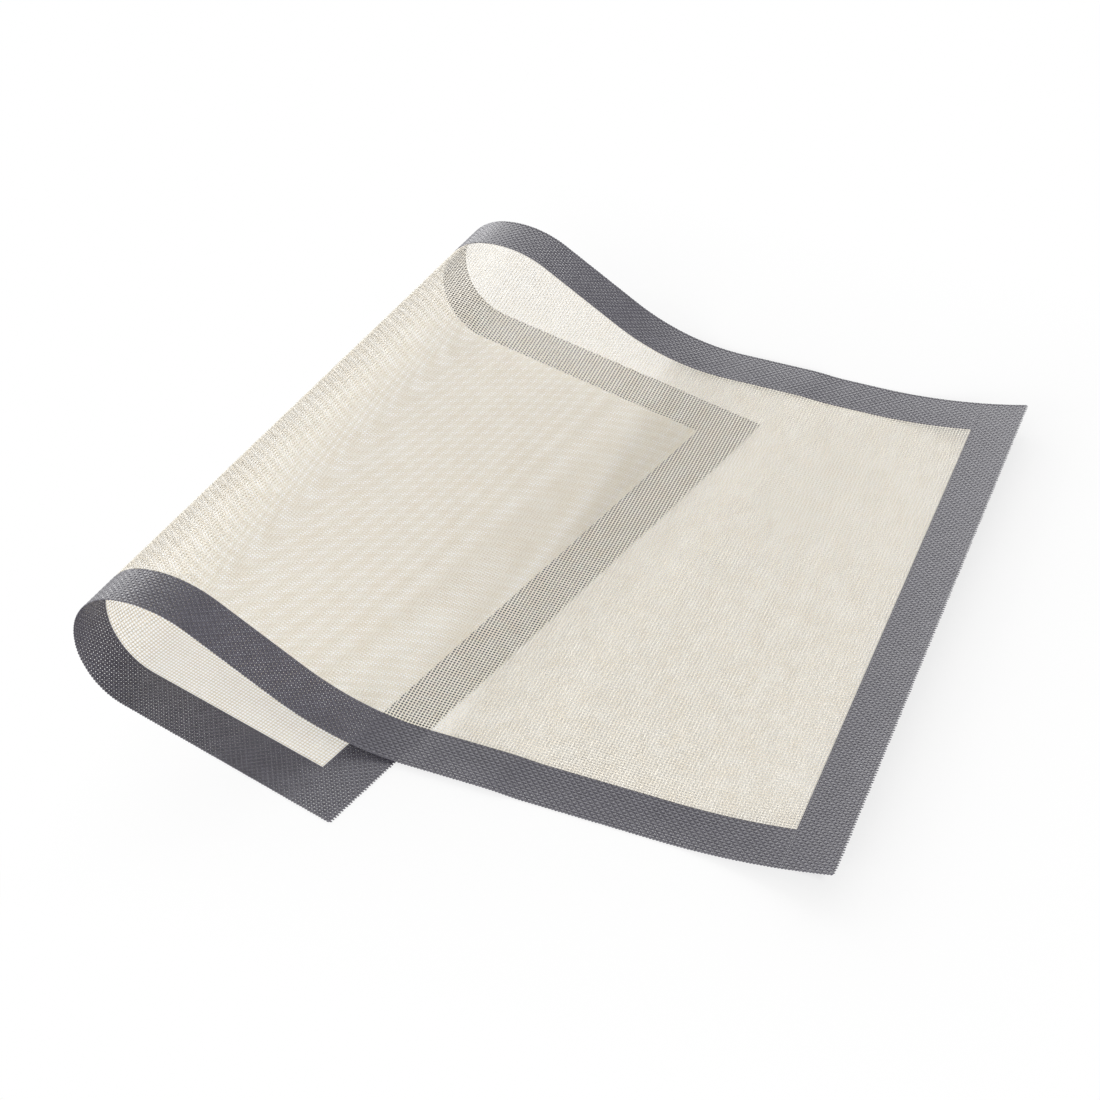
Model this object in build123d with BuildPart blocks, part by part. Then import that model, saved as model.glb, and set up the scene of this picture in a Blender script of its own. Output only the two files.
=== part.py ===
from build123d import *
import os
from math import atan, ceil, cos, degrees, floor, radians, sin, tan

# A baking mat of woven glass cloth coated in silicone, lying partly rolled back on itself.
# The open end points to +X. From there the mat runs flat, climbs, turns over in a wide loop on the
# -X side and comes back along the table, so that its tail lies just under the run again.
# Lengths are in millimetres and angles in degrees.

# The mat laid flat
mat_length = 520.0
mat_width = 325.0
border_width = 22.0
cloth_thickness = 0.35
coat_thickness = 0.15
# The bond between cloth and coat, so that their faces lie close but don't coincide
bond_line = 0.01

# The centre is an open mesh. Its holes are 0.7 mm wide on the real mat. Here a plain grid of larger
# square openings stands for them, through the cloth and both coats.
opening_size = 14.0
opening_spacing = 39.0

# The fold. Its straight lines aren't quite parallel to the short edges: the mat was rolled askew.
fold_skew_angle = 7.2
rise_radius = 105.0
rise_angle = 33.5
crest_radius = 45.5
crest_angle = 44.7
nose_radius = 25.2
landing_radius = 40.0
landing_angle = 6.0

# The open end curls up a little, along lines parallel to its own edge
curl_radius = 270.0
curl_length_share = 0.4

# The flat run takes this share of what the fold leaves of the mat's length, and the tail the rest
open_run_share = 0.611

# Where the tail lies under the run, the run is that much higher, and steps down past the tail
layer_clearance = 0.3
step_run = 20.0
step_margin = 3.0

# A curved stretch is made of pieces that turn by no more than this
largest_piece_angle = 30.0

thickness = cloth_thickness + 2 * coat_thickness
half_cloth = cloth_thickness / 2
lift = thickness + layer_clearance
skew = radians(fold_skew_angle)
nose_start = rise_angle - crest_angle
nose_end = landing_angle - 180


# Headings: 0 runs level towards -X, and 90 would run straight up
def travel(heading):
    return Vector(-cos(radians(heading)), 0, sin(radians(heading)))


def top_normal(heading):
    return Vector(sin(radians(heading)), 0, cos(radians(heading)))


def arc_length(radius, turn):
    return radius * radians(abs(turn))


def height_gained(radius, first_heading, last_heading):
    """The height that an arc turning downwards gains between two headings."""
    return radius * (cos(radians(last_heading)) - cos(radians(first_heading)))


# The straight slope between the rise and the crest is as long as the loop's height needs
slope_gain = (
    height_gained(rise_radius, 0, rise_angle)
    - height_gained(crest_radius, rise_angle, nose_start)
    - height_gained(nose_radius, nose_start, nose_end)
    - height_gained(landing_radius, nose_end, -180)
    - lift
)
slope_length = slope_gain / sin(radians(rise_angle))

# The fold as stretches of the mat, each a length and the angle that it turns, plus for upwards
fold = [
    (arc_length(rise_radius, rise_angle), rise_angle),
    (slope_length, 0),
    (arc_length(crest_radius, crest_angle), -crest_angle),
    (arc_length(nose_radius, nose_end - nose_start), nose_end - nose_start),
    (arc_length(landing_radius, landing_angle), -landing_angle),
]
fold_length = sum(length for length, turn in fold)


def row_of_openings(length):
    """The middles of the openings in one row or column, centred between the borders."""
    count = floor((length - 2 * border_width) / opening_spacing)
    first = (length - (count - 1) * opening_spacing) / 2
    return [first + index * opening_spacing for index in range(count)]


def walk(start, stretches):
    """Follow the stretches over the mat's middle surface and return each one's start, and the end."""
    point = start
    heading = 0
    places = []
    for length, turn in stretches:
        places.append((point, heading))
        if turn:
            radius = length / radians(turn)
            centre = point + top_normal(heading) * radius
            point = centre - top_normal(heading + turn) * radius
        else:
            point = point + travel(heading) * length
        heading = heading + turn
    return places, point


# The run, the step down past the tail's far corner, and the tail
open_run = open_run_share * (mat_length - fold_length)
curl_length = curl_length_share * open_run
_, fold_end = walk(Vector(0, 0, 0), fold)
tail_length = mat_length * cos(skew) + mat_width * sin(skew) - open_run - fold_length
covered_run = max(fold_end.X + tail_length, 0) + step_margin
step_angle = degrees(2 * atan(lift / step_run))
step_radius = step_run / (2 * sin(radians(step_angle)))
step_length = arc_length(step_radius, step_angle)
profile = [
    (open_run - covered_run - 2 * step_length, 0),
    (step_length, step_angle),
    (step_length, -step_angle),
    (covered_run, 0),
    *fold,
    (tail_length, 0),
]
stretches = []
for length, turn in profile:
    count = max(ceil(abs(turn) / largest_piece_angle), 1)
    stretches += [(length / count, turn / count)] * count
places, profile_end = walk(Vector(0, 0, thickness / 2), stretches)
print("slope", round(slope_length, 2), "fold", round(fold_length, 2), "open run", round(open_run, 2))
print("curl", round(curl_length, 2), "covered run", round(covered_run, 2), "tail", round(tail_length, 2))
print("step radius", round(step_radius, 2), "end of tail", profile_end)


# A line across the mat gives, for each distance from the near edge, a place along the fold's profile
# and a place in Y. Both are counted from the near corner of the open end.
def fold_line(along):
    return lambda across: (along, across / cos(skew) - along * tan(skew))


def short_edge_line(from_end):
    return lambda across: (
        from_end * cos(skew) + across * sin(skew),
        across * cos(skew) - from_end * sin(skew),
    )


def corners(first_line, last_line, inset):
    near = inset
    far = mat_width - inset
    return [first_line(near), first_line(far), last_line(far), last_line(near)]


# Each opening is its four corners, as places along the fold's profile and in Y
openings = []
for from_end in row_of_openings(mat_length):
    for across in row_of_openings(mat_width):
        half = opening_size / 2
        steps = [(-half, -half), (half, -half), (half, half), (-half, half)]
        openings.append([short_edge_line(from_end + along)(across + aside) for along, aside in steps])


def openings_between(first, last):
    """The openings that lie wholly or partly between two places along the fold's profile."""
    return [
        opening
        for opening in openings
        if max(place for place, y in opening) > first and min(place for place, y in opening) < last
    ]


def sector(first_radius, second_radius, first_angle, sweep):
    with BuildSketch() as shape:
        with BuildLine():
            first_arc = CenterArc((0, 0), first_radius, first_angle, sweep)
            second_arc = CenterArc((0, 0), second_radius, first_angle, sweep)
            Line(first_arc @ 0, second_arc @ 0)
            Line(first_arc @ 1, second_arc @ 1)
        make_face()
    return shape.sketch


def holed_outline(outline, holes, to_plane):
    """A face with this outline and these holes, each point of them placed by to_plane."""
    with BuildSketch() as shape:
        with BuildLine():
            Polyline([to_plane(place, y) for place, y in outline], close=True)
        make_face()
        for hole in holes:
            with BuildLine():
                Polyline([to_plane(place, y) for place, y in hole], close=True)
            make_face(mode=Mode.SUBTRACT)
    return shape.sketch


def flat_panel(point, heading, along, outline, holes, low, high):
    plane = Plane(origin=point, x_dir=-travel(heading), z_dir=top_normal(heading))
    shape = holed_outline(outline, holes, lambda place, y: (along - place, y))
    with BuildPart() as panel:
        with BuildSketch(plane.offset(low)):
            add(shape)
        extrude(amount=high - low)
    return panel.part


def curved_panel(point, heading, length, turn, along, inset, holes, low, high):
    """A sector as thick as the layer, trimmed along the edge lines as seen square to its middle."""
    radius = length / radians(turn)
    centre = point + top_normal(heading) * radius
    first_angle = (270 if turn > 0 else 90) - heading
    middle_normal = top_normal(heading + turn / 2)
    middle = Plane(
        origin=centre - middle_normal * radius,
        x_dir=-travel(heading + turn / 2),
        z_dir=middle_normal,
    )
    # The outline is drawn twice as long as the panel, whose own end faces then bound it
    chord = 2 * abs(radius * sin(radians(turn / 2)))
    middle_along = along + length / 2
    outline = corners(fold_line(middle_along - length), fold_line(middle_along + length), inset)
    trimming = holed_outline(
        outline, holes, lambda place, y: ((middle_along - place) * chord / length, y)
    )
    shape = sector(abs(radius - low), abs(radius - high), first_angle, -turn)
    with BuildPart() as panel:
        with BuildSketch(Plane(origin=centre, x_dir=(1, 0, 0), z_dir=(0, -1, 0))):
            add(shape)
        extrude(amount=mat_length + mat_width, both=True)
        with BuildSketch(middle):
            add(trimming)
        extrude(amount=chord, both=True, mode=Mode.INTERSECT)
    return panel.part


def curl_panel(inset, open_mesh, low, high):
    """The lifted open end: a sector about a line above the mat, parallel to the short edge."""
    along, y = short_edge_line(curl_length)(0)
    axis_point = Vector(-along, y, thickness / 2 + curl_radius)
    open_way = Vector(cos(skew), sin(skew), 0)
    far_way = Vector(-sin(skew), cos(skew), 0)
    plane = Plane(origin=axis_point, x_dir=open_way, z_dir=-far_way)
    sweep = degrees((curl_length - inset) / curl_radius)
    shape = sector(curl_radius - low, curl_radius - high, 270, sweep)
    opening_planes = []
    for from_end in row_of_openings(mat_length):
        if from_end - opening_size / 2 < curl_length:
            angle = (curl_length - from_end) / curl_radius
            normal = Vector(0, 0, cos(angle)) - open_way * sin(angle)
            for across in row_of_openings(mat_width):
                middle = axis_point + far_way * across - normal * curl_radius
                opening_planes.append(Plane(origin=middle, x_dir=far_way, z_dir=normal))
    with BuildPart() as panel:
        with BuildSketch(plane.offset(-inset)):
            add(shape)
        extrude(amount=2 * inset - mat_width)
        if open_mesh and opening_planes:
            with Locations(*opening_planes):
                Box(opening_size, opening_size, 2 * thickness, mode=Mode.SUBTRACT)
    return panel.part


def layer_panels(inset, open_mesh, low, high):
    """One layer of the mat, from low to high above its middle surface and this far in from its edges."""
    panels = [curl_panel(inset, open_mesh, low, high)]
    along = 0
    for index, (length, turn) in enumerate(stretches):
        point, heading = places[index]
        holes = openings_between(along, along + length) if open_mesh else []
        first_line = fold_line(along)
        last_line = fold_line(along + length)
        if index == 0:
            first_line = short_edge_line(curl_length)
        if index == len(stretches) - 1:
            last_line = short_edge_line(mat_length - inset)
        if turn:
            curved = curved_panel(point, heading, length, turn, along, inset, holes, low, high)
            panels.append(curved)
        else:
            outline = corners(first_line, last_line, inset)
            panels.append(flat_panel(point, heading, along, outline, holes, low, high))
        along = along + length
    return panels


# Glass mesh core: the woven cloth that runs right out to the cut edges
core_panels = layer_panels(0, True, -half_cloth, half_cloth)
with BuildPart() as glass_mesh_core:
    add(core_panels)
glass_mesh_core.part.label = "glass_mesh_core"
pieces = [glass_mesh_core.part]

# The silicone coats on the upper face and on the underside, named by how they lie at the open end.
# On each face the cream centre stops at the border, and the grey border is a frame round it: the
# whole layer less its closed centre.
faces = {
    "top": (half_cloth + bond_line, half_cloth + coat_thickness),
    "underside": (-half_cloth - coat_thickness, -half_cloth - bond_line),
}
for face, (low, high) in faces.items():
    centre_panels = layer_panels(border_width, True, low, high)
    closed_centre_panels = layer_panels(border_width, False, low, high)
    whole_panels = layer_panels(0, False, low, high)
    with BuildPart() as centre_coat:
        add(centre_panels)
    centre_coat.part.label = f"centre_coat_{face}"
    with BuildPart() as border_coat:
        add(whole_panels)
        add(closed_centre_panels, mode=Mode.SUBTRACT)
    border_coat.part.label = f"border_coat_{face}"
    pieces += [centre_coat.part, border_coat.part]

# The origin is under the middle of the mat as it lies, on the table
box = Compound(pieces).bounding_box()
centre = box.center()
os.makedirs("parts", exist_ok=True)
for piece in pieces:
    piece.move(Location((-centre.X, -centre.Y, -box.min.Z)))
    export_step(piece, f"parts/{piece.label}.step")
    print(piece.label, len(piece.solids()), round(piece.volume, 1), piece.bounding_box().size)
print("origin moved by", (-centre.X, -centre.Y, -box.min.Z), "overall size", box.size)
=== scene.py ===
# %% [markdown]
# # Woven silicone baking mat, rolled back on itself
# The real mat is a plain weave of glass yarns, dipped in silicone: cream in the middle and slate
# grey in a border all round. It lies on a table with one end carried over in a wide, loose loop.
# The CAD model gives its size and its fold as five thin layers. Here the same sheet gets the open
# weave that the CAD layers only stand in for.

# %% Load the CAD frame
from math import atan, cos, degrees, pi, radians, sin

import bpy
import numpy as np
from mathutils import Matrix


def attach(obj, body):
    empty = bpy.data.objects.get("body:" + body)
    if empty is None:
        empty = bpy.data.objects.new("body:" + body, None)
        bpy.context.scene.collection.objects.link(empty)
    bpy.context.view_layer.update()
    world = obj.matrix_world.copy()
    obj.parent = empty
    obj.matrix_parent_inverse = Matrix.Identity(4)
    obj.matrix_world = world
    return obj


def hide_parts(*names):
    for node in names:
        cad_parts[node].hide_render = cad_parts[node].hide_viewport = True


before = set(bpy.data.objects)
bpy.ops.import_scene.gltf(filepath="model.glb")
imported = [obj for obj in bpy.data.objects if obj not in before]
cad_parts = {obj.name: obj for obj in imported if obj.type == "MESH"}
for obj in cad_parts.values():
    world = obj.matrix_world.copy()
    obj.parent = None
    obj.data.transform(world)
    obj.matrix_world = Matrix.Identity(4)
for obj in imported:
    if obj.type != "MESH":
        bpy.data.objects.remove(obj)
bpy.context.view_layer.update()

MM = 0.001

# %% [markdown]
# The mat's own sizes come first. A baker's tray for which such mats are cut is 530 x 325 mm, so
# the mat is 520 x 325 mm, and its border is 22 mm wide. The yarns cross about every 1.5 mm. The
# pitch is chosen so that the border is a whole number of yarns, because on the real mat the two
# silicones meet between yarns.

# %% Sizes of the mat laid flat
mat_length = 520 * MM
mat_width = 325 * MM
mat_thickness = 0.65 * MM
crossings_along = 355
crossings_across = 222
border_crossings = 15
pitch_along = mat_length / crossings_along
pitch_across = mat_width / crossings_across
print("pitch", pitch_along / MM, "by", pitch_across / MM, "mm")
print("border", border_crossings * pitch_along / MM, "mm wide")

# %% [markdown]
# The fold is the same on every line across the mat: from the open end the sheet runs flat, steps
# up over its own tail, rises, turns over at the crest and the nose, lands and runs back along the
# table. It is written as stretches, each with a length and the angle that it turns, and walked
# through in small steps. These are the values of the CAD model.

# %% The fold as stretches of the mat
fold_skew = radians(7.2)
layer_clearance = 0.3 * MM
lift = mat_thickness + layer_clearance
rise_radius, rise_angle = 105 * MM, 33.5
crest_radius, crest_angle = 45.5 * MM, 44.7
nose_radius = 25.2 * MM
landing_radius, landing_angle = 40 * MM, 6.0
curl_radius = 270 * MM
open_run_share = 0.611
curl_length_share = 0.4
step_run = 20 * MM
step_margin = 3 * MM
nose_start = rise_angle - crest_angle
nose_end = landing_angle - 180


def arc(radius, turn):
    """One stretch of the fold: its length and the angle that it turns, plus for upwards."""
    return (radius * radians(abs(turn)), turn)


def height_gained(radius, first_heading, last_heading):
    return radius * (cos(radians(last_heading)) - cos(radians(first_heading)))


slope_gain = (
    height_gained(rise_radius, 0, rise_angle)
    - height_gained(crest_radius, rise_angle, nose_start)
    - height_gained(nose_radius, nose_start, nose_end)
    - height_gained(landing_radius, nose_end, -180)
    - lift
)
fold = [
    arc(rise_radius, rise_angle),
    (slope_gain / sin(radians(rise_angle)), 0),
    arc(crest_radius, -crest_angle),
    arc(nose_radius, nose_end - nose_start),
    arc(landing_radius, -landing_angle),
]
fold_length = sum(length for length, turn in fold)
open_run = open_run_share * (mat_length - fold_length)
curl_length = curl_length_share * open_run
print("fold", fold_length / MM, "open run", open_run / MM, "curl", curl_length / MM)

# %% [markdown]
# Walking the stretches gives the side view of the mat as a table: for each distance along the
# fold, a place in X and Z and the heading there. A point of the flat sheet is then looked up in
# that table. The lines of the fold are a little askew to the short edges, which is why a distance
# along the mat is turned by the skew angle before it is looked up.

# %% Walk the fold
def walk(start, stretches, steps=60):
    """Follow the stretches in short steps. Each row is distance, X, Z and heading in radians."""
    rows = [(0.0, start[0], start[1], 0.0)]
    for length, turn in stretches:
        for step in range(steps):
            distance, x, z, heading = rows[-1]
            middle = heading + radians(turn) / steps / 2
            x -= cos(middle) * length / steps
            z += sin(middle) * length / steps
            rows.append((distance + length / steps, x, z, heading + radians(turn) / steps))
    return np.array(rows)


fold_end_x = walk((0, 0), fold)[-1][1]
tail_length = mat_length * cos(fold_skew) + mat_width * sin(fold_skew) - open_run - fold_length
covered_run = max(fold_end_x + tail_length, 0) + step_margin
step_angle = degrees(2 * atan(lift / step_run))
step = arc(step_run / (2 * sin(radians(step_angle))), step_angle)
side_view = walk(
    (0, mat_thickness / 2),
    [
        (open_run - covered_run - 2 * step[0], 0),
        step,
        (step[0], -step_angle),
        (covered_run, 0),
        *fold,
        (tail_length, 0),
    ],
)
print("crest at", side_view[:, 2].max() / MM, "mm; tail", tail_length / MM, "mm")


def on_the_mat(along, across):
    """Where a point of the flat sheet lies, before the frame's origin is put under the middle."""
    lifted = np.clip(curl_length - along, 0, None) / curl_radius
    reach = np.where(along < curl_length, curl_length - curl_radius * np.sin(lifted), along)
    distance = reach * cos(fold_skew) + across * sin(fold_skew)
    table = side_view.T
    return np.stack(
        [
            np.interp(distance, table[0], table[1]),
            across * cos(fold_skew) - reach * sin(fold_skew),
            np.interp(distance, table[0], table[2]) + curl_radius * (1 - np.cos(lifted)),
        ],
        axis=-1,
    )


# %% [markdown]
# The folded sheet itself is a plain grid of cells of 2 by 3 mm. It isn't shown. It carries a UV
# map that says where on the flat mat each point is, so the weave can be laid on it later. Blender
# could fold a flat sheet with modifiers too, but a table of the real curve is exact and has no
# stretch, as woven glass has none. It reaches a little past the cut edges, so that the sides of
# the outermost yarns still find a place on it.

# %% Folded sheet that carries the weave
def grid_mesh(name, places, flat_places):
    """A mesh of quads through a grid of places, with the flat places as its UV map."""
    rows, columns = places.shape[:2]
    mesh = bpy.data.meshes.new(name)
    numbers = np.arange(rows * columns).reshape(rows, columns)
    quads = np.stack(
        [numbers[:-1, :-1], numbers[:-1, 1:], numbers[1:, 1:], numbers[1:, :-1]], axis=-1
    ).reshape(-1, 4)
    mesh.from_pydata(places.reshape(-1, 3).tolist(), [], quads.tolist())
    uv = mesh.uv_layers.new(name="flat")
    uv.data.foreach_set("uv", flat_places.reshape(-1, 2)[quads.ravel()].ravel().astype(np.float32))
    mesh.polygons.foreach_set("use_smooth", [True] * len(quads))
    mesh.update()
    return mesh


margin = 2 * MM
carrier_length = mat_length + 2 * margin
carrier_width = mat_width + 2 * margin
points_along = 241
points_across = 111
along, across = np.meshgrid(
    np.linspace(-margin, mat_length + margin, points_along),
    np.linspace(-margin, mat_width + margin, points_across),
    indexing="ij",
)
places = on_the_mat(along, across)
inside = (along >= 0) & (along <= mat_length) & (across >= 0) & (across <= mat_width)
corners = on_the_mat(*np.meshgrid([0, mat_length], [0, mat_width])).reshape(-1, 3)
everything = np.concatenate([places[inside], corners])
centre = (everything.min(axis=0) + everything.max(axis=0)) / 2
origin = np.array([centre[0], centre[1], 0])
flat_places = np.stack(
    [(along + margin) / carrier_length, (across + margin) / carrier_width], axis=-1
)
sheet_mesh = grid_mesh("folded_sheet", places - origin, flat_places)
first_face = sheet_mesh.polygons[0]
print("origin moved by", -origin / MM, "first face looks along", tuple(first_face.normal))

# %% [markdown]
# A few small helpers serve all node trees. They add a node with its settings and links, add a
# math node, tell what is seen from what is only lit, and turn a hex colour, which is how a colour
# is read off a picture, into Blender's linear values.

# %% Helpers for nodes and colours
def node(tree, kind, settings=None, **inputs):
    """Add a node. Settings are its own properties, and inputs are values or sockets to link."""
    made = tree.nodes.new(kind)
    for name, value in (settings or {}).items():
        setattr(made, name, value)
    for name, value in inputs.items():
        key = int(name[1:]) if name[0] == "i" and name[1:].isdigit() else name.replace("_", " ")
        socket = made.inputs[key]
        if isinstance(value, bpy.types.NodeSocket):
            tree.links.new(value, socket)
        else:
            socket.default_value = value
    return made


def math(tree, operation, first, second=0.0, third=0.0):
    """The result of a math node. Each of the three is a number or a socket."""
    settings = {"operation": operation}
    return node(tree, "ShaderNodeMath", settings, i0=first, i1=second, i2=third).outputs[0]


def seen_directly(tree):
    """A factor that is 1 for what the camera, a mirror or glass sees, and 0 for plain light."""
    rays = node(tree, "ShaderNodeLightPath").outputs
    seen = rays["Is Camera Ray"]
    for other in ("Is Glossy Ray", "Is Transmission Ray"):
        seen = math(tree, "MAXIMUM", seen, rays[other])
    return seen


def linear(hex_colour):
    """sRGB hex to linear red, green, blue and alpha."""
    values = [int(hex_colour[i : i + 2], 16) / 255 for i in (1, 3, 5)]
    return [v / 12.92 if v <= 0.04045 else ((v + 0.055) / 1.055) ** 2.4 for v in values] + [1.0]


# %% [markdown]
# Both silicones are a satin rubber over glass cloth. They are pale on top of a crossing and darker
# in the dents between yarns and where a yarn dips under another: that is painted shade. The weave
# keeps how high it stands at each point in an attribute, and the painted shade follows it. The
# coating is also a little thicker in some places than in others, which shows as faint patches
# some millimetres wide.

# %% Silicone on glass cloth
def silicone(name, pale, dark, patch, roughness):
    """Cured silicone rubber over glass yarn, with patches this many metres wide."""
    material = bpy.data.materials.new(name)
    material.use_nodes = True
    tree = material.node_tree
    tree.nodes.clear()
    where = node(tree, "ShaderNodeTexCoord").outputs["Object"]
    patches = node(
        tree, "ShaderNodeTexNoise", Vector=where, Scale=1 / patch, Detail=3.0, Roughness=0.6
    ).outputs["Fac"]
    raised = node(tree, "ShaderNodeAttribute", {"attribute_name": "raised"}).outputs["Fac"]
    # 0 is pale, on a crossing, and 1 is dark: painted shade in a dent, shifted by the patches
    shade_and_patches = math(tree, "MULTIPLY_ADD", raised, -0.75, 0.4)
    shade_and_patches = math(tree, "MULTIPLY_ADD", patches, 0.7, shade_and_patches)
    mix = node(tree, "ShaderNodeMix", {"data_type": "RGBA"}, i0=shade_and_patches)
    mix.inputs[6].default_value = linear(pale)
    mix.inputs[7].default_value = linear(dark)
    # The skin is a little rough, with grains a third of a millimetre wide
    skin = node(tree, "ShaderNodeTexNoise", Vector=where, Scale=1 / (0.35 * MM), Detail=2.0)
    bump = node(
        tree, "ShaderNodeBump", Height=skin.outputs["Fac"], Strength=0.25, Distance=0.05 * MM
    )
    shader = node(
        tree,
        "ShaderNodeBsdfPrincipled",
        Base_Color=mix.outputs[2],
        Roughness=roughness,
        IOR=1.41,
        Normal=bump.outputs["Normal"],
    )
    node(tree, "ShaderNodeOutputMaterial", Surface=shader.outputs["BSDF"])
    return material


cream_silicone = silicone("cream_silicone_on_glass", "#F1EEE6", "#D9CBB1", 9 * MM, 0.5)
print("made", cream_silicone.name)

# %% [markdown]
# Grey silicone is the same rubber filled with a slate grey pigment. It lies thicker and smoother,
# so it is glossier.

# %% Slate grey silicone
grey_silicone = silicone("slate_grey_silicone_on_glass", "#67656F", "#403E46", 6 * MM, 0.27)
print("made", grey_silicone.name)

# %% [markdown]
# The weave is laid out in units of yarns on the flat mat: yarn 0 lies half a pitch in from the
# edge. Two Geometry Nodes trees build on that, one for the cream centre and one for the grey
# border. Both end in the same way: Sample UV Surface finds, for each point of the flat mat, the
# place and the normal on the folded sheet. These helpers make what the two trees share.

# %% Helpers for the two woven trees
def new_tree(name, sizes):
    """A tree that takes the folded sheet and these sizes, and gives back a part of the mat."""
    tree = bpy.data.node_groups.new(name, "GeometryNodeTree")
    tree.interface.new_socket("Folded Sheet", in_out="INPUT", socket_type="NodeSocketGeometry")
    for label, (kind, value) in sizes.items():
        socket = tree.interface.new_socket(label, in_out="INPUT", socket_type="NodeSocket" + kind)
        if value is not None:
            socket.default_value = value
    tree.interface.new_socket("Mat", in_out="OUTPUT", socket_type="NodeSocketGeometry")
    return tree, node(tree, "NodeGroupInput").outputs


def place_of(tree):
    """The X, Y and Z of each point."""
    place = node(tree, "GeometryNodeInputPosition").outputs[0]
    return node(tree, "ShaderNodeSeparateXYZ", Vector=place).outputs


def yarn_place(tree, number, count, first):
    """Point 0 is the piece's edge, points 1 to count are yarns, and one more is its other edge."""
    number = math(tree, "MAXIMUM", math(tree, "SUBTRACT", number, 0.5), 0.0)
    return math(tree, "ADD", math(tree, "MINIMUM", number, count), first)


def up_and_down(tree, along, across):
    """How a plain weave goes up and down, from -1 to 1, in turns from crossing to crossing."""
    wave = math(tree, "SINE", math(tree, "MULTIPLY", along, pi))
    return math(tree, "MULTIPLY", wave, math(tree, "SINE", math(tree, "MULTIPLY", across, pi)))


def remember_height(tree, geometry, wave):
    """Keep how high the weave stands at each point, from 0 to 1, for the material's painted shade.
    """
    raised = math(tree, "MULTIPLY_ADD", wave, 0.5, 0.5)
    kept = {"data_type": "FLOAT", "domain": "POINT"}
    return node(
        tree,
        "GeometryNodeStoreNamedAttribute",
        kept,
        Geometry=geometry,
        Name="raised",
        Value=raised,
    ).outputs[0]


def flat_target(tree, given, along, across, height):
    """A point of the flat mat in metres, from its place in yarns."""
    x = math(tree, "MULTIPLY", along, given["Pitch Along"])
    y = math(tree, "MULTIPLY", across, given["Pitch Across"])
    return node(tree, "ShaderNodeCombineXYZ", X=x, Y=y, Z=height).outputs[0]


def lay_on_sheet(tree, given, flat_mat):
    """Lay a part of the flat mat on the folded sheet, and give it its material."""
    flat = place_of(tree)
    u = math(tree, "DIVIDE", math(tree, "ADD", flat[0], given["Margin"]), given["Sheet Length"])
    v = math(tree, "DIVIDE", math(tree, "ADD", flat[1], given["Margin"]), given["Sheet Width"])
    flat_uv = node(tree, "ShaderNodeCombineXYZ", X=u, Y=v).outputs[0]
    vector = {"data_type": "FLOAT_VECTOR"}
    uv_map = node(tree, "GeometryNodeInputNamedAttribute", vector, Name="flat").outputs[0]
    sampled = []
    for field in ("GeometryNodeInputPosition", "GeometryNodeInputNormal"):
        found = node(
            tree,
            "GeometryNodeSampleUVSurface",
            vector,
            Mesh=given["Folded Sheet"],
            Value=node(tree, field).outputs[0],
            UV_Map=uv_map,
            Sample_UV=flat_uv,
        )
        sampled.append(found.outputs[0])
    place, normal = sampled
    rise = node(tree, "ShaderNodeVectorMath", {"operation": "SCALE"}, i0=normal, Scale=flat[2])
    landed = node(
        tree, "ShaderNodeVectorMath", {"operation": "ADD"}, i0=place, i1=rise.outputs[0]
    )
    laid = node(tree, "GeometryNodeSetPosition", Geometry=flat_mat, Position=landed.outputs[0])
    real = node(tree, "GeometryNodeRealizeInstances", Geometry=laid.outputs[0])
    finished = node(
        tree, "GeometryNodeSetMaterial", Geometry=real.outputs[0], Material=given["Material"]
    )
    node(tree, "NodeGroupOutput", i0=finished.outputs[0])
    print(tree.name, "has", len(tree.nodes), "nodes")


def coated_tube(tree, given, line):
    """Give each line of points the flat round section of a coated yarn."""
    line = node(tree, "GeometryNodeMeshToCurve", Mesh=line)
    line = node(tree, "GeometryNodeSetCurveNormal", {"mode": "Z_UP"}, Curve=line.outputs[0])
    # The coating swells and thins over about 4 mm of yarn
    noise = node(tree, "ShaderNodeTexNoise", Scale=1 / (4 * MM), Detail=2.0).outputs[0]
    noise = math(tree, "SUBTRACT", noise, 0.5)
    radius = math(tree, "MULTIPLY_ADD", noise, given["Unevenness"], 1.0)
    line = node(tree, "GeometryNodeSetCurveRadius", Curve=line.outputs[0], Radius=radius)
    ring = node(tree, "GeometryNodeCurvePrimitiveCircle", Resolution=4, Radius=0.5)
    size = node(
        tree, "ShaderNodeCombineXYZ", X=given["Yarn Width"], Y=given["Yarn Height"], Z=1.0
    )
    section = node(
        tree, "GeometryNodeTransform", Geometry=ring.outputs[0], Scale=size.outputs[0]
    )
    tube = node(
        tree,
        "GeometryNodeCurveToMesh",
        Curve=line.outputs[0],
        Profile_Curve=section.outputs[0],
        Fill_Caps=True,
    )
    return tube.outputs[0]


whole_mat = {
    "Crossings Along": ("Int", crossings_along),
    "Crossings Across": ("Int", crossings_across),
    "First Along": ("Int", 0),
    "First Across": ("Int", 0),
    "Pitch Along": ("Float", pitch_along),
    "Pitch Across": ("Float", pitch_across),
    "Sheet Length": ("Float", carrier_length),
    "Sheet Width": ("Float", carrier_width),
    "Margin": ("Float", margin),
    "Material": ("Material", None),
}

# %% [markdown]
# The centre is two sets of yarns that pass over and under each other. Each coated yarn is a flat
# tube, much wider than it is high: a row of points, moved up or down at each crossing, turned to
# a curve and given a section. The silicone is a little thicker in some places than in others, so
# the section follows a noise.

# %% Tree for the open woven centre
weave, given = new_tree(
    "open_weave",
    {
        **whole_mat,
        "Yarn Width": ("Float", 0.57 * MM),
        "Yarn Height": ("Float", 0.24 * MM),
        "Crimp": ("Float", 0.07 * MM),
        "Unevenness": ("Float", 0.25),
    },
)


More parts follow.
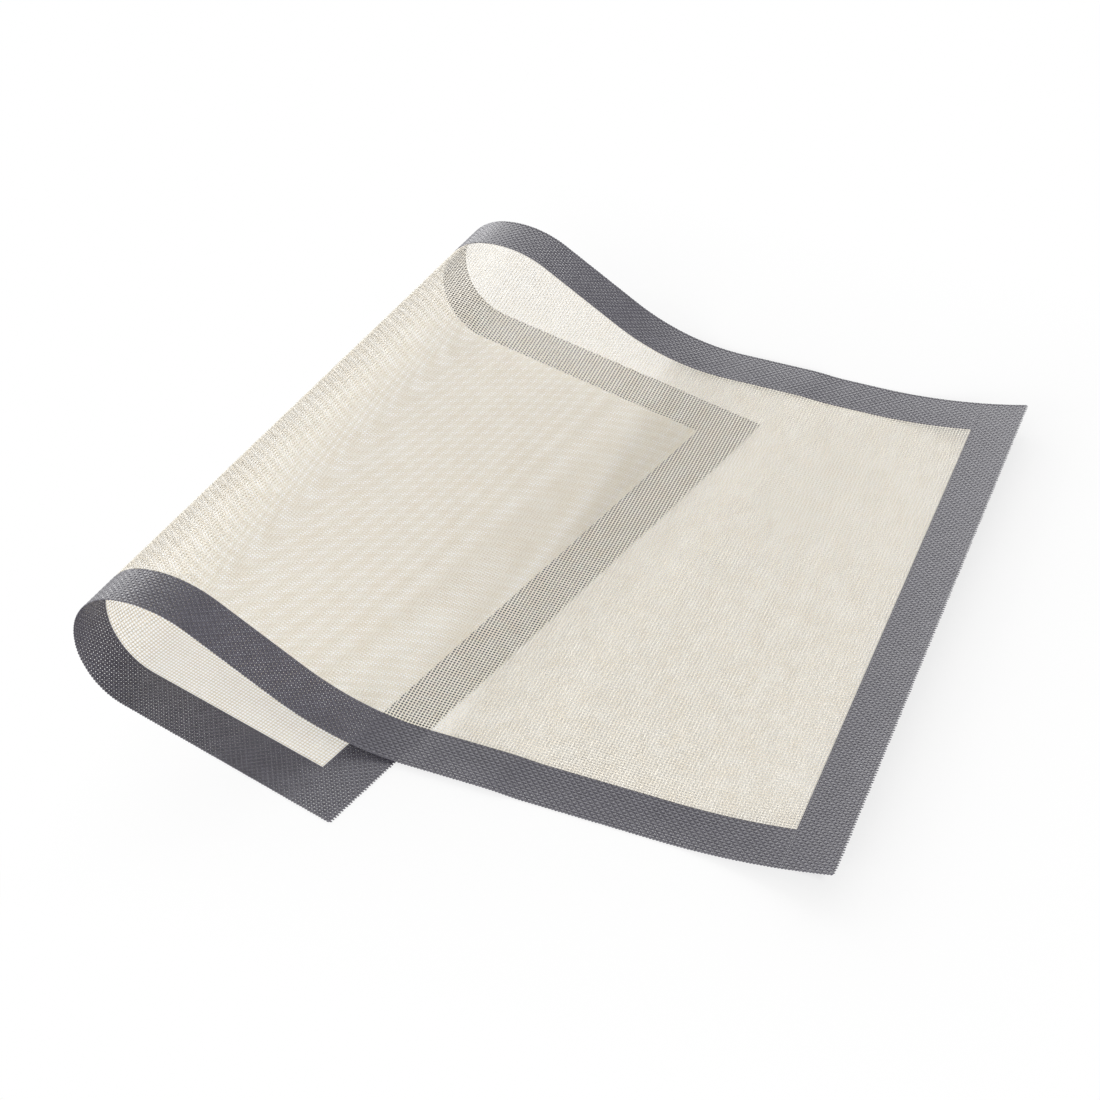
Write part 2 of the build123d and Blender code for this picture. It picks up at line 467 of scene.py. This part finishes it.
def yarns(direction):
    """One set of yarns. A yarn has a point at each crossing and one at each cut end."""
    across = "Across" if direction == "Along" else "Along"
    count = math(weave, "ADD", given["Crossings " + direction], 2.0)
    yarn = node(weave, "GeometryNodeMeshLine", Count=count, Offset=(1.0, 0.0, 0.0))
    starts = node(
        weave, "GeometryNodeMeshLine", Count=given["Crossings " + across], Offset=(0.0, 1.0, 0.0)
    )
    copies = node(
        weave,
        "GeometryNodeInstanceOnPoints",
        Points=starts.outputs[0],
        Instance=yarn.outputs[0],
    )
    copies = node(weave, "GeometryNodeRealizeInstances", Geometry=copies.outputs[0])
    place = place_of(weave)
    own = yarn_place(weave, place[0], given["Crossings " + direction], given["First " + direction])
    row = math(weave, "ADD", math(weave, "ADD", place[1], 0.5), given["First " + across])
    wave = up_and_down(weave, own, row)
    places = (own, row)
    if direction == "Across":
        wave = math(weave, "MULTIPLY", wave, -1.0)
        places = (row, own)
    copies = remember_height(weave, copies.outputs[0], wave)
    target = flat_target(weave, given, *places, math(weave, "MULTIPLY", wave, given["Crimp"]))
    moved = node(weave, "GeometryNodeSetPosition", Geometry=copies, Position=target)
    tube = coated_tube(weave, given, moved.outputs[0])
    # The cut ends stay flat, so that they don't bend the light on the yarn beside them
    facing = node(weave, "GeometryNodeInputNormal").outputs[0]
    facing = node(weave, "ShaderNodeSeparateXYZ", Vector=facing).outputs
    facing = facing[0] if direction == "Along" else facing[1]
    side = math(weave, "LESS_THAN", math(weave, "ABSOLUTE", facing), 0.9)
    return node(weave, "GeometryNodeSetShadeSmooth", Geometry=tube, Shade_Smooth=side).outputs[0]


both = node(weave, "GeometryNodeJoinGeometry")
for direction in ("Along", "Across"):
    weave.links.new(yarns(direction), both.inputs[0])
lay_on_sheet(weave, given, both.outputs[0])

# %% [markdown]
# In the border a second, grey coat closes the weave all but for a pinhole in the middle of each
# mesh. It is a film: a grid with a line on each yarn, in which each square gets a smaller square
# in its middle (Extrude Mesh and Scale Elements). That square sinks in, so that the yarns stand
# out as ridges, and is then deleted. The film is given its thickness, with dents on both faces.
# Where the mat was cut from the roll, the ends of its yarns stick out a little.

# %% Tree for the closed grey border
film, given = new_tree(
    "closed_weave",
    {
        **whole_mat,
        "Thickness": ("Float", 0.3 * MM),
        "Crimp": ("Float", 0.07 * MM),
        "Dent": ("Float", 0.1 * MM),
        "Smallest Hole": ("Float", 0.14),
        "Largest Hole": ("Float", 0.26),
        "Yarn Width": ("Float", 0.75 * MM),
        "Yarn Height": ("Float", 0.26 * MM),
        "Unevenness": ("Float", 0.3),
        "Mat Along": ("Int", crossings_along),
        "Mat Across": ("Int", crossings_across),
    },
)


def film_sheet():
    """The grid of the film, with a line along the middle of each yarn."""
    grid = node(
        film,
        "GeometryNodeMeshGrid",
        Size_X=math(film, "ADD", given["Crossings Along"], 1.0),
        Size_Y=math(film, "ADD", given["Crossings Across"], 1.0),
        Vertices_X=math(film, "ADD", given["Crossings Along"], 2.0),
        Vertices_Y=math(film, "ADD", given["Crossings Across"], 2.0),
    ).outputs[0]
    place = place_of(film)
    numbers = []
    for i, direction in enumerate(("Along", "Across")):
        half = math(film, "MULTIPLY", math(film, "ADD", given["Crossings " + direction], 1.0), 0.5)
        number = math(film, "ROUND", math(film, "ADD", place[i], half))
        numbers.append(
            yarn_place(
                film, number, given["Crossings " + direction], given["First " + direction]
            )
        )
    wave = up_and_down(film, *numbers)
    grid = remember_height(film, grid, wave)
    height = math(film, "MULTIPLY", wave, given["Crimp"])
    height = math(film, "MULTIPLY_ADD", given["Thickness"], 0.5, height)
    target = flat_target(film, given, *numbers, height)
    return node(film, "GeometryNodeSetPosition", Geometry=grid, Position=target).outputs[0]


def with_pinholes(sheet):
    """Sink a dent into the middle of each mesh of the weave and open it as a pinhole."""
    # Meshes cut in half by a side of the piece have one too, and the quarters in its corners none
    area = node(film, "GeometryNodeInputMeshFaceArea").outputs[0]
    whole = math(film, "MULTIPLY", given["Pitch Along"], given["Pitch Across"])
    is_mesh = math(film, "GREATER_THAN", area, math(film, "MULTIPLY", whole, 0.4))
    inner = node(
        film,
        "GeometryNodeExtrudeMesh",
        {"mode": "FACES"},
        Mesh=sheet,
        Selection=is_mesh,
        Offset_Scale=0.0,
        Individual=True,
    )
    # The pinholes are wider in some parts of the border than in others, over about 45 mm
    patches = node(film, "ShaderNodeTexNoise", Scale=1 / (45 * MM), Detail=2.0).outputs[0]
    patches = node(
        film,
        "ShaderNodeMapRange",
        Value=patches,
        From_Min=0.35,
        From_Max=0.65,
        To_Min=given["Smallest Hole"],
        To_Max=given["Largest Hole"],
    ).outputs[0]
    chance = node(film, "FunctionNodeRandomValue", {"data_type": "FLOAT"}, i2=0.85, i3=1.1)
    share = math(film, "MULTIPLY", patches, chance.outputs[1])
    shrunk = node(
        film,
        "GeometryNodeScaleElements",
        {"domain": "FACE"},
        Geometry=inner.outputs[0],
        Selection=inner.outputs[1],
        Scale=share,
    )
    down = math(film, "MULTIPLY", given["Dent"], -1.0)
    sunk = node(
        film,
        "GeometryNodeSetPosition",
        Geometry=shrunk.outputs[0],
        Selection=inner.outputs[1],
        Offset=node(film, "ShaderNodeCombineXYZ", Z=down).outputs[0],
    )
    # The sunk dent is marked lowest, so that the material gives it painted shade
    kept = {"data_type": "FLOAT", "domain": "POINT"}
    sunk = node(
        film,
        "GeometryNodeStoreNamedAttribute",
        kept,
        Geometry=sunk.outputs[0],
        Selection=inner.outputs[1],
        Name="raised",
        Value=-1.0,
    )
    return node(
        film,
        "GeometryNodeDeleteGeometry",
        {"domain": "FACE"},
        Geometry=sunk.outputs[0],
        Selection=inner.outputs[1],
    ).outputs[0]


sharp_angle = radians(50)


def given_thickness(sheet):
    """Close the film below: its own copy, turned over, and the walls of holes and edges."""
    lower = node(
        film,
        "GeometryNodeExtrudeMesh",
        {"mode": "FACES"},
        Mesh=sheet,
        Offset_Scale=0.0,
        Individual=False,
    )
    kept = {"data_type": "FLOAT"}
    raised = node(film, "GeometryNodeInputNamedAttribute", kept, Name="raised").outputs[0]
    in_dent = math(film, "LESS_THAN", raised, -0.5)
    dents = math(film, "MULTIPLY", math(film, "MULTIPLY", given["Dent"], 2.0), in_dent)
    down = math(film, "SUBTRACT", dents, given["Thickness"])
    lower = node(
        film,
        "GeometryNodeSetPosition",
        Geometry=lower.outputs[0],
        Selection=lower.outputs[1],
        Offset=node(film, "ShaderNodeCombineXYZ", Z=down).outputs[0],
    ).outputs[0]
    closed = node(film, "GeometryNodeJoinGeometry")
    film.links.new(lower, closed.inputs[0])
    film.links.new(node(film, "GeometryNodeFlipFaces", Mesh=sheet).outputs[0], closed.inputs[0])
    welded = node(
        film, "GeometryNodeMergeByDistance", Geometry=closed.outputs[0], Distance=0.002 * MM
    )
    outwards = node(film, "GeometryNodeFlipFaces", Mesh=welded.outputs[0])
    turn = node(film, "GeometryNodeInputMeshEdgeAngle").outputs[0]
    return node(
        film,
        "GeometryNodeSetShadeSmooth",
        {"domain": "EDGE"},
        Geometry=outwards.outputs[0],
        Selection=math(film, "GREATER_THAN", turn, sharp_angle),
        Shade_Smooth=False,
    ).outputs[0]


def loose_ends(direction, at_far_side, longest, buried=0.4):
    """Ends of one set of yarns, which stick out of the film where this side of the mat is cut.

    The longest end and the part buried in the film are shares of the pitch.
    """
    other = "Across" if direction == "Along" else "Along"
    edge = given["Mat " + direction] if at_far_side else 0.0
    reached = given["First " + direction]
    if at_far_side:
        reached = math(film, "ADD", reached, given["Crossings " + direction])
    is_cut = math(film, "COMPARE", reached, edge, 0.5)
    count = math(film, "MULTIPLY", given["Crossings " + other], is_cut)
    starts = node(film, "GeometryNodeMeshLine", Count=count, Offset=(0.0, 1.0, 0.0))
    end = node(film, "GeometryNodeMeshLine", Count=2, Offset=(1.0, 0.0, 0.0))
    copies = node(
        film, "GeometryNodeInstanceOnPoints", Points=starts.outputs[0], Instance=end.outputs[0]
    )
    copies = node(film, "GeometryNodeRealizeInstances", Geometry=copies.outputs[0])
    place = place_of(film)
    row = math(film, "ADD", math(film, "ADD", place[1], 0.5), given["First " + other])
    reach = node(
        film,
        "FunctionNodeRandomValue",
        {"data_type": "FLOAT"},
        i2=0.6 * longest,
        i3=longest,
        ID=place[1],
    ).outputs[1]
    out = math(film, "MULTIPLY_ADD", place[0], math(film, "ADD", reach, buried), -buried)
    own = math(film, "MULTIPLY_ADD", out, 1.0 if at_far_side else -1.0, edge)
    places = (own, row) if direction == "Along" else (row, own)
    target = flat_target(film, given, *places, 0.0)
    moved = node(
        film, "GeometryNodeSetPosition", Geometry=copies.outputs[0], Position=target
    )
    return coated_tube(film, given, moved.outputs[0])


both = node(film, "GeometryNodeJoinGeometry")
film.links.new(given_thickness(with_pinholes(film_sheet())), both.inputs[0])
for at_far_side in (False, True):
    film.links.new(loose_ends("Along", at_far_side, 0.65), both.inputs[0])
    film.links.new(loose_ends("Across", at_far_side, 0.25), both.inputs[0])
lay_on_sheet(film, given, both.outputs[0])

# %% [markdown]
# A piece of the mat is a rectangle of crossings. The tree runs as a modifier on a copy of the
# folded sheet, and its result is turned into a plain mesh.

# %% Weave one piece of the mat
def woven_piece(name, tree, first_along, along_count, first_across, across_count, coat):
    """Weave these crossings on the folded sheet and keep them as a plain mesh."""
    carrier = bpy.data.objects.new(name + "_carrier", sheet_mesh)
    bpy.context.scene.collection.objects.link(carrier)
    modifier = carrier.modifiers.new("weave", "NODES")
    modifier.node_group = tree
    wanted = {
        "First Along": first_along,
        "Crossings Along": along_count,
        "First Across": first_across,
        "Crossings Across": across_count,
        **coat,
    }
    for item in tree.interface.items_tree:
        if item.item_type == "SOCKET" and item.in_out == "INPUT" and item.name in wanted:
            modifier[item.identifier] = wanted[item.name]
    evaluated = carrier.evaluated_get(bpy.context.evaluated_depsgraph_get())
    mesh = bpy.data.meshes.new_from_object(evaluated)
    mesh.name = name
    bpy.data.objects.remove(carrier)
    piece = bpy.data.objects.new(name, mesh)
    bpy.context.scene.collection.objects.link(piece)
    size = (along_count * pitch_along, across_count * pitch_across)
    print(name, len(mesh.vertices), "points,", [round(s / MM, 1) for s in size], "mm")
    return piece, size


# %% [markdown]
# The centre is woven in six strips, so that no mesh is too heavy, and the border in four. The
# yarns of one strip end where the next one's begin, between two crossings.

# %% Weave the cream centre and the grey border
cream_coat = {"Material": cream_silicone}
grey_coat = {"Material": grey_silicone}
centre_along = crossings_along - 2 * border_crossings
centre_across = crossings_across - 2 * border_crossings
strips = 6
cuts = [border_crossings + centre_along * i // strips for i in range(strips + 1)]
woven = []
for i in range(strips):
    woven.append(
        woven_piece(
            f"centre_weave_{i + 1}",
            weave,
            cuts[i],
            cuts[i + 1] - cuts[i],
            border_crossings,
            centre_across,
            cream_coat,
        )
    )
last_along = crossings_along - border_crossings
last_across = crossings_across - border_crossings
borders = {
    "border_weave_open_end": (0, border_crossings, 0, crossings_across),
    "border_weave_near": (border_crossings, centre_along, 0, border_crossings),
    "border_weave_far": (border_crossings, centre_along, last_across, border_crossings),
    "border_weave_tail_end": (last_along, border_crossings, 0, crossings_across),
}
for name, counts in borders.items():
    woven.append(woven_piece(name, film, *counts, grey_coat))

# %% Attach the pieces and hide the CAD layers that they stand for
for piece, size in woven:
    is_centre = piece.name.startswith("centre")
    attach(piece, "root")
    if is_centre:
        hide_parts("centre_coat_top", "centre_coat_underside", "glass_mesh_core")
    else:
        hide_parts("border_coat_top", "border_coat_underside", "glass_mesh_core")

# %% [markdown]
# The table is a plain white floor. Where it is seen directly it is whiter than it is for plain
# light, and it glows more and more away from the mat, up to the white of the background. So the
# mat's shadow stays, soft and faint, and the table throws no more light on the mat than a white
# table does. There is no glow under the open run, because it would shine through the mesh.

# %% White table
floor_mesh = bpy.data.meshes.new("floor")
floor_mesh.from_pydata([(-6, -6, 0), (6, -6, 0), (6, 6, 0), (-6, 6, 0)], [], [(0, 1, 2, 3)])
floor = bpy.data.objects.new("floor", floor_mesh)
bpy.context.scene.collection.objects.link(floor)
table_top = bpy.data.materials.new("white_table_top")
table_top.use_nodes = True
tree = table_top.node_tree
tree.nodes.clear()
# The glow starts this far inside the edges of the open run and grows outwards in two steps
glow_inset = 14 * MM
edge_end, edge_glow = 10 * MM, 0.7
beyond_start, beyond_end, beyond_glow = 15 * MM, 140 * MM, 0.3
shade = node(tree, "ShaderNodeMix", {"data_type": "RGBA"}, i0=seen_directly(tree))
shade.inputs[6].default_value = (0.85, 0.85, 0.85, 1)
shade.inputs[7].default_value = (1, 1, 1, 1)
white = node(tree, "ShaderNodeBsdfDiffuse", Color=shade.outputs[2])
glow = node(tree, "ShaderNodeEmission", Strength=1.0)
place = node(tree, "ShaderNodeTexCoord").outputs["Object"]
place = node(tree, "ShaderNodeSeparateXYZ", Vector=place).outputs
corner = on_the_mat(0, 0) - origin
east = math(tree, "SUBTRACT", place[0], corner[0])
north = math(tree, "SUBTRACT", place[1], corner[1])
in_run = math(tree, "MULTIPLY", east, -cos(fold_skew))
in_run = math(tree, "MULTIPLY_ADD", north, -sin(fold_skew), in_run)
in_width = math(tree, "MULTIPLY", east, -sin(fold_skew))
in_width = math(tree, "MULTIPLY_ADD", north, cos(fold_skew), in_width)
outside = 0.0
for inwards, size in ((in_run, open_run), (in_width, mat_width)):
    from_middle = math(tree, "ABSOLUTE", math(tree, "SUBTRACT", inwards, size / 2))
    past = math(tree, "SUBTRACT", from_middle, size / 2 - glow_inset)
    outside = math(tree, "MAXIMUM", outside, past)
at_edge = node(
    tree, "ShaderNodeMapRange", Value=outside, From_Max=edge_end, To_Max=edge_glow
).outputs[0]
beyond = node(
    tree,
    "ShaderNodeMapRange",
    Value=outside,
    From_Min=beyond_start,
    From_Max=beyond_end,
    To_Max=beyond_glow,
).outputs[0]
share = math(tree, "MULTIPLY", seen_directly(tree), math(tree, "ADD", at_edge, beyond))
lit = node(tree, "ShaderNodeMixShader", i0=share, i1=white.outputs[0], i2=glow.outputs[0])
node(tree, "ShaderNodeOutputMaterial", Surface=lit.outputs[0])
floor_mesh.materials.append(table_top)

# %% [markdown]
# The light is a soft dome, as in a light tent, and four wide softboxes low round the mat: behind
# it, on both sides and in front. The border is glossy and mirrors a softbox wherever it faces
# one: along the far edge, at the crest and where the open end curls up.

# %% Light dome and softboxes
world = bpy.data.worlds.new("light_tent")
bpy.context.scene.world = world
world.use_nodes = True
tree = world.node_tree
tree.nodes.clear()
strength = node(tree, "ShaderNodeMix", {"data_type": "FLOAT"}, i0=seen_directly(tree))
strength.inputs[2].default_value = 0.26
strength.inputs[3].default_value = 1.0
dome = node(tree, "ShaderNodeBackground", Color=(1, 1, 1, 1), Strength=strength.outputs[0])
node(tree, "ShaderNodeOutputWorld", Surface=dome.outputs[0])
softbox_foot = 0.15


def softbox(name, level, bearing, distance=2.2, width=3.2, height=0.9):
    """A wide softbox that stands upright on this bearing from the mat and faces it."""
    data = bpy.data.lights.new(name, "AREA")
    data.shape = "RECTANGLE"
    data.size = width
    data.size_y = height
    data.energy = level * pi * width * height
    lamp = bpy.data.objects.new(name, data)
    bpy.context.scene.collection.objects.link(lamp)
    lamp.location = (
        distance * sin(radians(bearing)),
        distance * cos(radians(bearing)),
        softbox_foot + height / 2,
    )
    lamp.rotation_euler = (-pi / 2, 0, -radians(bearing))
    lamp.visible_camera = False


softbox("softbox_behind", 3.3, -27, height=1.65)
softbox("softbox_right", 6.2, 110)
softbox("softbox_left", 3.2, -85)
softbox("softbox_front", 4.8, 190)

# %% [markdown]
# The camera stands where the photographer's did, found by fitting the mat's corners and edges.

# %% Camera
tilt_down = 0.7138
turn_left = 0.5076
camera_data = bpy.data.cameras.new("camera")
camera_data.sensor_width = 36
camera_data.lens = 78.44
camera = bpy.data.objects.new("camera", camera_data)
bpy.context.scene.collection.objects.link(camera)
camera.location = (0.3741, -0.7295, 0.7206)
camera.rotation_euler = (pi / 2 - tilt_down, 0, turn_left)
bpy.context.scene.camera = camera
bpy.context.scene.view_settings.view_transform = "Standard"
